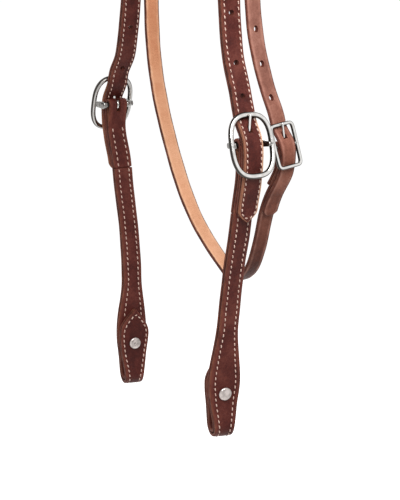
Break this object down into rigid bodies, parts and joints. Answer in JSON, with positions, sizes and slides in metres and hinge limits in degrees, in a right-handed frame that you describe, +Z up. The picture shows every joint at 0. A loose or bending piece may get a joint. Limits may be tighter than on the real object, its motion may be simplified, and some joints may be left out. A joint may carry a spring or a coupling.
{
  "type": "western headstall",
  "caption": "Doubled, stitched leather headstall: crown strap, hinged cheek pieces with bit loops and screws, sliding browband, and a throatlatch, joined by centre-bar buckles.",
  "frame": {"origin": "middle of the flat underside of the crown, where it rests on the poll", "axes": "+Z up, -Y towards the horse's nose, +X towards its near (left) side"},
  "size_m": [0.2426, 0.1421, 0.4514],
  "materials": {
    "dark_leather": "oiled, slightly polished",
    "red_leather": "oiled, matt",
    "nickel": "polished"
  },
  "bodies": {
    "headpiece": {"crown_outer": "dark_leather", "crown_lining": "dark_leather", "throat_strap": "red_leather", "near_buckle_frame": "nickel", "near_buckle_bar": "nickel", "far_buckle_frame": "nickel", "far_buckle_bar": "nickel", "throat_buckle_frame": "nickel", "throat_buckle_bar": "nickel"},
    "near_cheek": {"near_cheek_outer": "dark_leather", "near_cheek_lining": "dark_leather", "near_screw_post": "nickel", "near_screw": "nickel"},
    "far_cheek": {"far_cheek_outer": "dark_leather", "far_cheek_lining": "dark_leather", "far_screw_post": "nickel", "far_screw": "nickel"},
    "browband": {"browband_outer": "dark_leather", "browband_lining": "dark_leather"},
    "near_tongue": {"near_buckle_tongue": "nickel"},
    "far_tongue": {"far_buckle_tongue": "nickel"},
    "throat_tongue": {"throat_buckle_tongue": "nickel"}
  },
  "joints": [
    {"name": "near_cheek_swing", "type": "hinge", "parent": "headpiece", "child": "near_cheek", "pos_m": [0.1045, -0.0013, -0.21545], "axis": [0, 1, 0], "range_deg": [0, 16]},
    {"name": "far_cheek_swing", "type": "hinge", "parent": "headpiece", "child": "far_cheek", "pos_m": [-0.1045, -0.0013, -0.21545], "axis": [0, -1, 0], "range_deg": [0, 16]},
    {"name": "browband_slide", "type": "slide", "parent": "headpiece", "child": "browband", "axis": [0, 0, 1], "range_m": [-0.01, 0.01]},
    {"name": "near_tongue_lift", "type": "hinge", "parent": "headpiece", "child": "near_tongue", "pos_m": [0.1045, -0.0013, -0.21545], "axis": [0, 1, 0], "range_deg": [0, 8]},
    {"name": "far_tongue_lift", "type": "hinge", "parent": "headpiece", "child": "far_tongue", "pos_m": [-0.1045, -0.0013, -0.21545], "axis": [0, -1, 0], "range_deg": [0, 8]},
    {"name": "throat_tongue_lift", "type": "hinge", "parent": "headpiece", "child": "throat_tongue", "pos_m": [0.1016, 0.0317, -0.22005], "axis": [-0.0263, 0.9905, 0.1353], "range_deg": [0, 8]}
  ]
}
